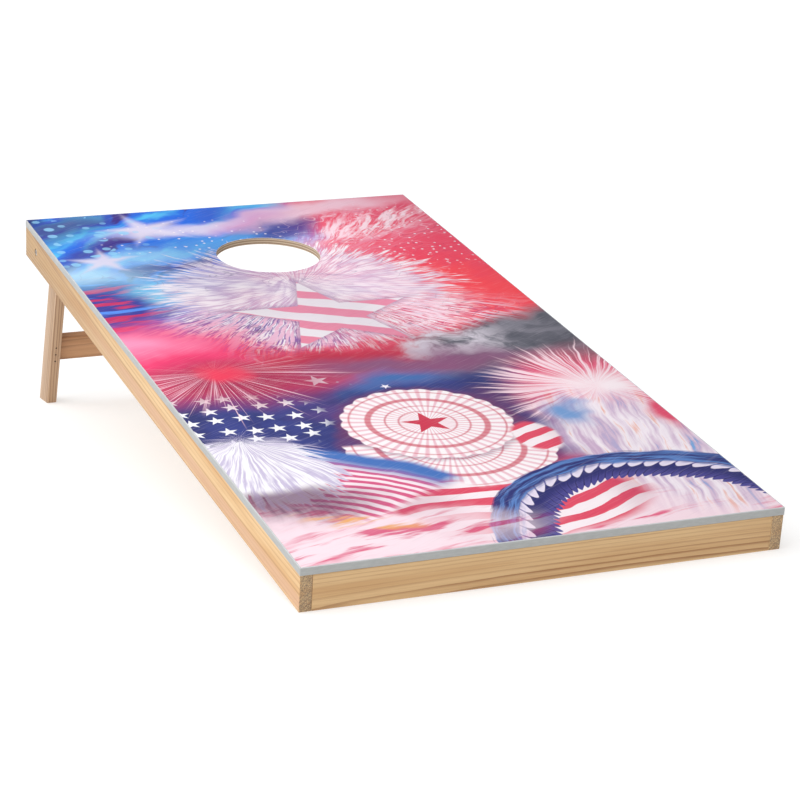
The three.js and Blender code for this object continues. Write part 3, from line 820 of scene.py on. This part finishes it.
low, high = own_box("printed_film", board_place)
film = deck_sheet("print_sheet", low, high, 0.00015)
for face in film.data.polygons:
    face.material_index = int(abs(face.normal.z) < 0.95)
set_in_place(film, board_place, "board", [art.material, film_edge_finish()], "printed_film")

# ---- Edge band ----
# A grey band is glued round the deck's edge to cover the ply. It is a millimetre thick and softly
# rounded, and a painted highlight along its top shows as a thin pale line beside the print.


def band_finish():
    band = Finish("grey edge band")
    mottle = band.noise(band.stretch(band.place, (90, 90, 400)), 1, 3, 0.6)
    scuffs = band.noise(band.stretch(band.place, (35, 35, 2600)), 1, 2, 0.6)
    tone = band.blend(band.rise(mottle, 0.3, 0.75), (158, 160, 159), (168, 170, 169))
    tone = band.blend(band.times(band.rise(scuffs, 0.55, 0.75), 0.3), tone, (182, 184, 183))
    height = band.step("ShaderNodeSeparateXYZ", {"Vector": band.place}, "Z")
    # Painted highlight: the top millimetre of the band is painted paler, where its rounded top edge catches the
    # light.
    tone = band.blend(band.rise(height, -0.0011, -0.0002), tone, (204, 207, 210))
    band.relief(band.sums("ADD", mottle, scuffs), 0.12, 0.0001)
    band.shine(Base_Color=tone, Roughness=band.span(scuffs, 0.38, 0.56))
    return band.material


grey_band = band_finish()
for side in ("front", "back", "left", "right"):
    low, high = own_box(f"edge_band_{side}", board_place)
    strip = rounded_bar(f"edge_strip_{side}", low, high, 0.0003)
    set_in_place(strip, board_place, "board", [grey_band], f"edge_band_{side}")

# ---- Blocks and brace ----
# Pine corner blocks, leg blocks and one brace stiffen the frame under the deck. The leg blocks
# stand the legs off the rails, and the pivot bolts run through them.

block_pith = {
    "corner_block_left": ("z", (-0.2, 0.02, -0.03)),
    "corner_block_right": ("z", (0.33, 0.08, -0.03)),
    "leg_block_left": ("y", (-0.25, 1.1, -0.06)),
    "leg_block_right": ("y", (0.3, 1.0, 0.01)),
    "centre_brace": ("x", (0.05, 0.57, -0.05)),
}


def head_of(node, into, place):
    """The middle of a fastener's head, which is the end that faces back the way it was driven."""
    into_place = place.inverted()
    points = [into_place @ vertex.co for vertex in frame["nodes"][node].data.vertices]
    nearest = min(point.dot(into) for point in points)
    face = [point for point in points if point.dot(into) < nearest + 1e-5]
    return sum(face, Vector()) / len(face)


def screw_directions():
    """Every wood screw's node with the way it is driven, in the board's frame."""
    for side, outwards in (("left", -1), ("right", 1)):
        for spot in ("upper", "lower"):
            yield f"corner_screw_{side}_side_{spot}", Vector((outwards, 0, 0))
            yield f"corner_screw_{side}_front_{spot}", Vector((0, -1, 0))
        for spot in ("front", "back"):
            yield f"leg_block_screw_{side}_{spot}", Vector((outwards, 0, 0))
        yield f"brace_screw_{side}", Vector((0, 0, 1))


screws = [(node, into, head_of(node, into, board_place)) for node, into in screw_directions()]
sink_radius = 0.0038
sink_lead = 0.03
sink_depth = 0.0008
pilot_radius = 0.0019
slack = 0.001

for block, (along, pith) in block_pith.items():
    low, high = own_box(block, board_place)
    piece = rounded_bar(f"{block}_timber", low, high)
    for node, into, head in screws:
        if all(low[axis] - slack < head[axis] < high[axis] + slack for axis in range(3)):
            start = head - into * sink_lead
            take_away(piece, drill("sink", start, into, sink_radius, sink_lead + sink_depth, 24))
            take_away(piece, drill("pilot", start, into, pilot_radius, 0.08, 16))
    if block.startswith("leg_block"):
        side = block.rsplit("_", 1)[1]
        bolt_low, bolt_high = own_box(f"pivot_bolt_{side}", board_place)
        bolt_line = (bolt_low + bolt_high) / 2
        start = Vector((low.x - 0.01, bolt_line.y, bolt_line.z))
        take_away(piece, drill("bolt_hole", start, (1, 0, 0), bolt_hole_radius, 0.04))
    set_pine(piece, block, block, along, pith)

# ---- Wood screws ----
# Zinc plated countersunk screws with a cross recess hold the blocks to the rails and the brace to
# the deck. Each thread is a row of turned ridges below a plain neck.


def zinc_finish(name, tone_low, tone_high):
    zinc = Finish(name)
    cloud = zinc.noise(zinc.stretch(zinc.place, (300, 300, 300)), 1, 3, 0.6)
    scratch = zinc.noise(zinc.stretch(zinc.place, (4000, 4000, 600)), 1, 2, 0.6)
    tone = zinc.blend(zinc.rise(cloud, 0.35, 0.7), tone_low, tone_high)
    zinc.relief(scratch, 0.15, 0.0001)
    zinc.shine(Base_Color=tone, Roughness=zinc.span(scratch, 0.24, 0.46), Metallic=1.0)
    return zinc.material


def turned_shape(profile, steps):
    """A shape turned round z from radius and height pairs, first and last on the axis."""
    shape = bmesh.new()
    line = [shape.verts.new((radius, 0, height)) for radius, height in profile]
    edges = [shape.edges.new(pair) for pair in zip(line, line[1:])]
    bmesh.ops.spin(
        shape, geom=line + edges, cent=(0, 0, 0), axis=(0, 0, 1), angle=2 * math.pi, steps=steps,
        use_merge=True, use_duplicate=False,
    )
    bmesh.ops.remove_doubles(shape, verts=shape.verts[:], dist=1e-6)
    bmesh.ops.recalc_face_normals(shape, faces=shape.faces[:])
    return shape


def screw_blank(length):
    """A countersunk screw along z, its head's face at zero, with ridges for the thread."""
    head, neck, core, pitch = 0.0036, 0.0017, 0.0012, 0.0014
    height = 0.006
    profile = [
        (0, 0), (head - 0.0002, 0), (head, 0.0002), (head, 0.0005), (neck, 0.0026), (neck, height),
    ]
    while height < length - 0.006:
        profile += [(core, height + pitch * 0.3), (core, height + pitch * 0.7), (neck, height + pitch)]
        height += pitch
    profile += [(core * 0.8, length - 0.003), (0, length)]
    return as_piece("screw_blank", turned_shape(profile, 24))


def cross_recess(piece):
    """Sinks a tapered cross into the head, as two crossed wedges."""
    wide, thick, tall = 0.0042, 0.0008, 0.0034
    for turn in (0, math.pi / 2):
        shape = bmesh.new()
        bmesh.ops.create_cube(shape, size=1)
        for vertex in shape.verts:
            taper = 1.0 if vertex.co.z < 0 else 0.45
            vertex.co *= Vector((wide * taper, thick, tall))
        bmesh.ops.rotate(shape, verts=shape.verts[:], matrix=Matrix.Rotation(turn, 3, "Z"))
        take_away(piece, as_piece("cross", shape))


bright_zinc = zinc_finish("bright zinc", (176, 180, 186), (206, 208, 210))
screw_meshes = {}
for node, into, head in screws:
    family = node.rsplit("_", 2)[0] if node.startswith("corner") else node.rsplit("_", 1)[0]
    family = family.replace("_left", "").replace("_right", "")
    if family not in screw_meshes:
        low, high = own_box(node, board_place)
        length = abs((high - low).dot(into))
        blank = screw_blank(length)
        cross_recess(blank)
        screw_meshes[family] = blank.data
        bpy.data.objects.remove(blank)
    screw = bpy.data.objects.new(node.replace("screw", "wood_screw"), screw_meshes[family].copy())
    bpy.context.scene.collection.objects.link(screw)
    set_in_place(screw, board_place @ along_z(head, into), "board", [bright_zinc], node)

# ---- Brads ----
# Small bright wire brads pin the back rail to the leg blocks, and pin each crossbar tenon in its
# leg. Their heads sit just under the face and have dulled to brown.

brad_finish = zinc_finish("dull brad wire", (62, 50, 42), (96, 80, 66))
for node, piece in frame["nodes"].items():
    if "_nail_" in node:
        piece.data.materials.clear()
        piece.data.materials.append(brad_finish)

# ---- Pivot bolts, washers and lock nuts ----
# A button-head bolt with a hexagon socket sits in a well in each side rail. It runs through the
# block, a washer and the leg to a second washer and a nylon-collared lock nut.


def hexagon_shape(across_flats, bottom, top, corner_ease=0.0):
    """A hexagonal bar along z, its top corners turned off."""
    shape = bmesh.new()
    corner = across_flats / math.sqrt(3)
    turns = [step * math.pi / 3 for step in range(6)]
    ring = [(corner * math.cos(turn), corner * math.sin(turn), bottom) for turn in turns]
    draw_out(shape, [shape.faces.new([shape.verts.new(point) for point in ring])], 2, top)
    if corner_ease:
        ends = [edge for edge in shape.edges if abs(edge.verts[0].co.z - edge.verts[1].co.z) < 1e-7]
        bmesh.ops.bevel(shape, geom=ends, offset=corner_ease, segments=2, profile=0.5, affect="EDGES")
    return shape


def bolt_piece(length):
    head, shank, crest, pitch = bolt_head_radius, 0.00285, 0.003, 0.001
    height = length * 0.55
    profile = [
        (0, 0), (0.0034, 0), (0.0044, 0.0003), (0.0051, 0.0009), (head, 0.0018), (head, 0.0032),
        (shank, 0.0032), (shank, height),
    ]
    while height < length - 0.0015:
        profile += [(crest, height + pitch * 0.5), (shank - 0.0003, height + pitch)]
        height += pitch
    profile += [(shank - 0.0006, length), (0, length)]
    bolt = as_piece("bolt_blank", turned_shape(profile, 40))
    take_away(bolt, as_piece("key_socket", hexagon_shape(0.004, -0.002, 0.002)))
    return bolt


def washer_piece(thickness):
    outer, hole, ease = 0.009, 0.0031, 0.00015
    profile = [
        (hole, 0), (outer - ease, 0), (outer, ease), (outer, thickness - ease),
        (outer - ease, thickness), (hole, thickness), (hole, 0),
    ]
    return as_piece("washer_blank", turned_shape(profile, 48))


def nut_piece(height):
    collar, soft, start = 0.0046, 0.0004, 0.0045
    profile = [
        (0, start), (collar, start), (collar, height - soft), (collar - soft, height), (0, height),
    ]
    nut = as_piece("nut_blank", hexagon_shape(0.01, 0, 0.005, 0.0003))
    work_with(nut, as_piece("nut_collar", turned_shape(profile, 40)), "UNION")
    take_away(nut, drill("thread", (0, 0, -drill_lead), (0, 0, 1), 0.0031, height + 2 * drill_lead, 40))
    return nut


for side, inwards in (("left", Vector((1, 0, 0))), ("right", Vector((-1, 0, 0)))):
    for part, make in (
        ("pivot_bolt", bolt_piece), ("spacer_washer", washer_piece),
        ("nut_washer", washer_piece), ("lock_nut", nut_piece),
    ):
        node = f"{part}_{side}"
        low, high = own_box(node, board_place)
        middle = (low + high) / 2
        start = Vector((low.x if inwards.x > 0 else high.x, middle.y, middle.z))
        piece = make(high.x - low.x)
        piece.name = f"{part}_steel_{side}"
        set_in_place(piece, board_place @ along_z(start, inwards), "board", [bright_zinc], node)

# ---- Legs ----
# Two pine legs lean back from the deck and stop against it. Each top is rounded on the side that
# swings past the deck, each foot is cut to stand flat, and each has a mortise for the crossbar.

joint = frame["joints"][0]
leg_lean = math.radians(15)
leg_place = Matrix.Translation(joint["pos_m"]) @ Matrix.Rotation(deck_tilt + leg_lean, 4, "X")
leg_half = 0.02075
leg_top = 0.0212
leg_foot = 0.279
leg_pith = {"leg_left": (-0.235, -0.03, -0.1), "leg_right": (0.21, 0.05, -0.2)}
leg_tones = {"light": (188, 157, 127), "warm": (172, 138, 105), "dark": (128, 92, 64)}
mortise_reach = Vector((0.0112, 0.0047, 0.0162))
brad_hole_radius = 0.00145
crossbar_down = sum(corner.z for corner in own_box("leg_crossbar", leg_place)) / 2


def leg_outline():
    """The leg's side view as y and z, from the front of the foot round to the front of the top."""
    slope = math.tan(leg_lean + deck_tilt)
    square_corner = (leg_top - leg_half * math.sin(leg_lean)) / math.cos(leg_lean)
    points = [
        (-leg_half, leg_half * slope - leg_foot), (leg_half, -leg_half * slope - leg_foot),
        (leg_half, square_corner),
    ]
    start, end = math.pi / 2 - leg_lean, math.acos(-leg_half / leg_top)
    steps = 24
    for step in range(steps + 1):
        turn = start + (end - start) * step / steps
        points.append((leg_top * math.cos(turn), leg_top * math.sin(turn)))
    return points


for leg, pith in leg_pith.items():
    low, high = own_box(leg, leg_place)
    shape = bmesh.new()
    side_face = shape.faces.new([shape.verts.new((low.x, y, z)) for y, z in leg_outline()])
    draw_out(shape, [side_face], 0, high.x)
    sharp = [edge for edge in shape.edges if edge.calc_face_angle() > 0.5]
    bmesh.ops.bevel(shape, geom=sharp, offset=wood_ease, segments=3, profile=0.5, affect="EDGES")
    piece = as_piece(f"{leg}_timber", shape)
    take_away(piece, drill("bolt_hole", (low.x - 0.01, 0, 0), (1, 0, 0), 0.00315, 0.04))
    inner = high.x if high.x < 0 else low.x
    middle = Vector((inner, 0, crossbar_down))
    mortise = rounded_bar("mortise", middle - mortise_reach, middle + mortise_reach, 0.0002)
    take_away(piece, mortise)
    for spot in ("upper", "middle", "lower"):
        node = f"leg_nail_{leg[4:]}_{spot}"
        into = Vector((0, 1, 0))
        start = head_of(node, into, leg_place) - into * 0.005
        take_away(piece, drill("brad_hole", start, into, brad_hole_radius, 0.03, 16))
    set_pine(piece, leg, leg, "z", pith, "leg_frame", leg_place, **leg_tones)

# ---- Crossbar ----
# A browner pine bar joins the legs square, its tenons glued in their mortises and pinned by brads.

shoulder_gap = 0.00015
leg_inner_face = own_box("leg_left", leg_place)[1].x
tenon_end = own_box("leg_crossbar", leg_place)[1].x
bar_half = Vector((-leg_inner_face - shoulder_gap, 0.0075, 0.02))
tenon_half = Vector((tenon_end, 0.0045, 0.016))
centre = Vector((0, 0, crossbar_down))
bar_pith = (0.1, 0.03, crossbar_down - 0.012)
bar_tones = {"light": (198, 152, 112), "warm": (172, 126, 86), "dark": (96, 58, 34)}

bar = rounded_bar("crossbar_timber", centre - bar_half, centre + bar_half)
tenons = rounded_bar("tenons", centre - tenon_half, centre + tenon_half, 0.0003)
work_with(bar, tenons, "UNION")
set_pine(
    bar, "leg_crossbar", "crossbar", "x", bar_pith, "leg_frame", leg_place, **bar_tones,
)

# ---- Studio ----
# A plain pale floor that glows a little, like a lit table, and a soft sky that is brightest to the
# left and overhead.


def floor_finish():
    paper = Finish("pale studio floor")
    cloud = paper.noise(paper.stretch(paper.place, (0.6, 0.6, 0.6)), 1, 2, 0.5)
    tone = paper.blend(cloud, (190, 191, 192), (198, 198, 198))
    paper.shine(Base_Color=tone, Roughness=0.9, Emission_Color=(1, 1, 1, 1), Emission_Strength=0.54)
    return paper.material


shape = bmesh.new()
bmesh.ops.create_grid(shape, x_segments=4, y_segments=4, size=60)
floor = as_piece("studio_floor", shape)
floor_gap = 0.0005
floor.location.z = cad_box[0][2] - floor_gap
floor.data.materials.append(floor_finish())

sky = bpy.data.worlds.new("soft sky")
sky.use_nodes = True
sky_nodes = sky.node_tree
heading = sky_nodes.nodes.new("ShaderNodeTexCoord").outputs["Generated"]
to_lamp = sky_nodes.nodes.new("ShaderNodeVectorMath")
to_lamp.operation = "DOT_PRODUCT"
to_lamp.inputs[1].default_value = Vector((-0.8, -0.1, 0.6)).normalized()
fade = sky_nodes.nodes.new("ShaderNodeMapRange")
fade.interpolation_type = "SMOOTHSTEP"
fade.inputs["To Min"].default_value = 0.24
fade.inputs["To Max"].default_value = 1.95
sky_nodes.links.new(heading, to_lamp.inputs[0])
sky_nodes.links.new(to_lamp.outputs["Value"], fade.inputs["Value"])
sky_nodes.links.new(fade.outputs[0], sky_nodes.nodes["Background"].inputs["Strength"])
sky_nodes.nodes["Background"].inputs["Color"].default_value = (1, 1, 1, 1)
bpy.context.scene.world = sky

bpy.context.scene.view_settings.view_transform = "Standard"

# ---- Camera ----
# It stands low in front of the board's left corner, with a long lens.

camera = bpy.data.objects.new("camera", bpy.data.cameras.new("camera"))
camera.location = board_place @ Vector((-1.19494, -2.34184, 1.23276))
camera.rotation_euler = [math.radians(turn) for turn in (77.466, 0.844, -22.928)]
camera.data.sensor_width = 36
camera.data.lens = 114.47
camera.data.shift_x = -0.0556
camera.data.shift_y = 0.0358
camera.data.clip_end = 100
bpy.context.scene.collection.objects.link(camera)
bpy.context.scene.camera = camera
